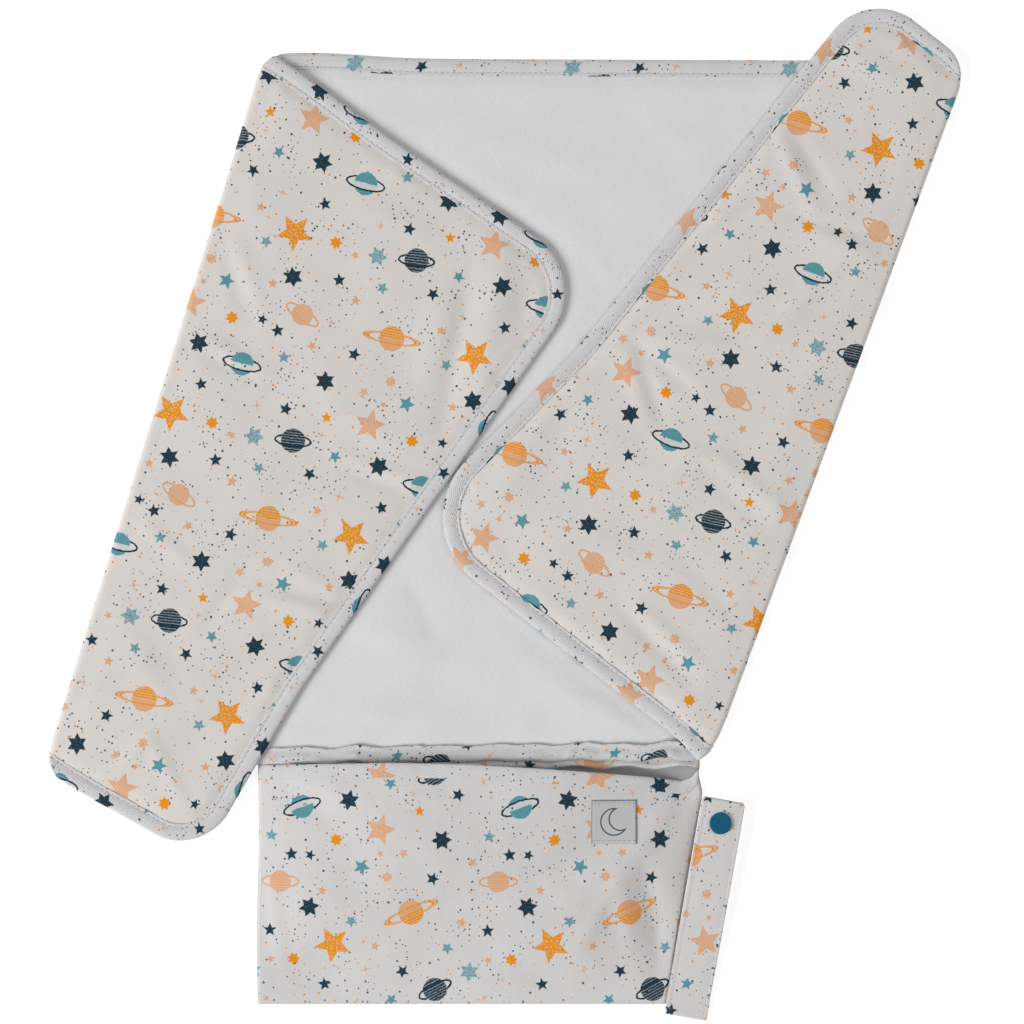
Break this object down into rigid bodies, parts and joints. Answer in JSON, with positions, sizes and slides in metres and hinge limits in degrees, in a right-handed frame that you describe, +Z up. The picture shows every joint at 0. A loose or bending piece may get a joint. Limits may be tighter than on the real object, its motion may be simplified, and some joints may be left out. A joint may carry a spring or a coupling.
{
  "type": "folding changing pad",
  "caption": "Travel changing pad with wings that fold over its padded middle, a pouch at one end and a snap strap.",
  "frame": {"origin": "middle of the folded pad's footprint, on the surface it lies on", "axes": "+X to the right, +Y from the pouch towards the mat's far edge, +Z up, out of the changing surface"},
  "size_m": [0.5155, 0.5692, 0.0132],
  "materials": {
    "printed_cover": "matt printed waterproof knit",
    "padding": "plain absorbent wadding",
    "lining": "smooth brushed knit",
    "binding": "printed ribbed fold-over tape",
    "label": "woven satin label",
    "snap": "moulded plastic"
  },
  "bodies": {
    "mat": {"mat_back_cover": "printed_cover", "mat_padding": "padding", "mat_lining": "lining", "mat_top_binding": "binding", "mat_bottom_binding": "binding"},
    "left_wing": {"left_wing_cover": "printed_cover", "left_wing_padding": "padding", "left_wing_lining": "lining", "left_wing_binding": "binding"},
    "right_wing": {"right_wing_cover": "printed_cover", "right_wing_padding": "padding", "right_wing_lining": "lining", "right_wing_binding": "binding"},
    "pouch": {"pouch_back_panel": "printed_cover"},
    "pouch_front": {"pouch_front_panel": "printed_cover", "pouch_mouth_binding": "binding", "woven_label": "label"},
    "strap": {"strap_back_half": "printed_cover", "snap_stud": "snap", "snap_back_cap": "snap"},
    "strap_tongue": {"strap_front_half": "printed_cover", "snap_cap": "snap", "snap_socket": "snap"}
  },
  "joints": [
    {"name": "left_wing_fold", "type": "hinge", "parent": "mat", "child": "left_wing", "pos_m": [-0.19625, 0.0565, 0.00355], "axis": [-0.2965, -0.955, 0], "range_deg": [0, 179.5]},
    {"name": "right_wing_fold", "type": "hinge", "parent": "mat", "child": "right_wing", "pos_m": [0.1845, 0.05825, 0.00355], "axis": [0.3471, 0.9378, 0], "range_deg": [0, 179.5]},
    {"name": "pouch_fold", "type": "hinge", "parent": "mat", "child": "pouch", "pos_m": [0, -0.142, 0.0109], "axis": [1, 0, 0], "range_deg": [-179.5, 0]},
    {"name": "pouch_mouth", "type": "hinge", "parent": "pouch", "child": "pouch_front", "pos_m": [-0.025, -0.278, 0.0011], "axis": [1, 0, 0], "range_deg": [0, 20]},
    {"name": "strap_swing", "type": "hinge", "parent": "pouch", "child": "strap", "pos_m": [0.1115, -0.1621, 0.0014], "axis": [0, 0, 1], "range_deg": [0, 60]},
    {"name": "strap_snap", "type": "hinge", "parent": "strap", "child": "strap_tongue", "pos_m": [0.1009, -0.283, 0.0013], "axis": [0.9849, -0.1734, 0], "range_deg": [0, 175]}
  ]
}
